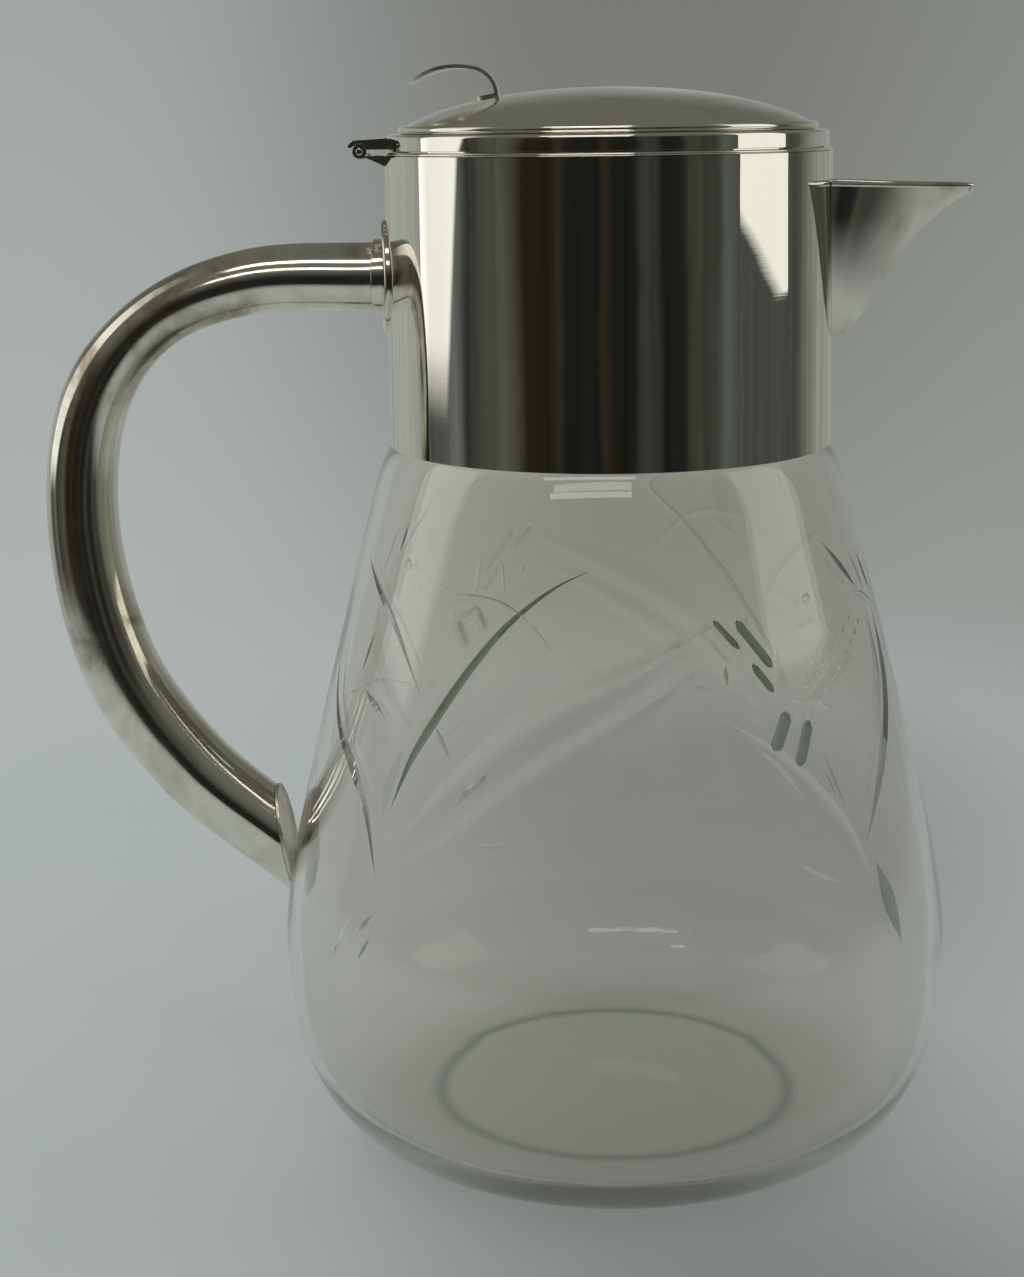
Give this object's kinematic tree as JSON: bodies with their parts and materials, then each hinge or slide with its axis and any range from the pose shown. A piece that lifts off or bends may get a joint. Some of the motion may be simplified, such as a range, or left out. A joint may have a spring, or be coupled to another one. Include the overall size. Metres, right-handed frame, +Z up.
{
  "type": "claret jug",
  "caption": "Glass serving jug with a silver-plated collar, beak spout, hollow bent handle and hinged domed lid with a curled thumb-piece.",
  "frame": {"origin": "centre of the flat ground foot, on the jug's axis", "axes": "+Z up along the jug's axis, +X toward the spout, the handle and the lid hinge at -X"},
  "size_m": [0.2119, 0.153, 0.2458],
  "materials": {
    "clear_glass": "clear lead glass, wheel-cut and polished",
    "silver_plate": "silver plate over brass sheet, bright polish",
    "pin_metal": "drawn nickel silver wire, worn",
    "cement": "set plaster cement"
  },
  "bodies": {
    "jug": {"glass_body": "clear_glass", "neck_cement": "cement", "neck_ledge": "silver_plate", "collar": "silver_plate", "collar_rim": "silver_plate", "spout": "silver_plate", "handle_flange": "silver_plate", "handle_ferrule": "silver_plate", "handle_tube": "silver_plate", "handle_end_cap": "silver_plate", "hinge_bracket": "silver_plate", "hinge_pin": "pin_metal"},
    "lid": {"lid_band": "silver_plate", "lid_bezel": "silver_plate", "lid_dome": "silver_plate", "lid_hinge_leaf": "silver_plate", "thumb_piece": "silver_plate"}
  },
  "joints": [
    {"name": "lid_hinge", "type": "hinge", "parent": "jug", "child": "lid", "pos_m": [-0.055, 0, 0.227], "axis": [0, -1, 0], "range_deg": [0, 100]}
  ]
}
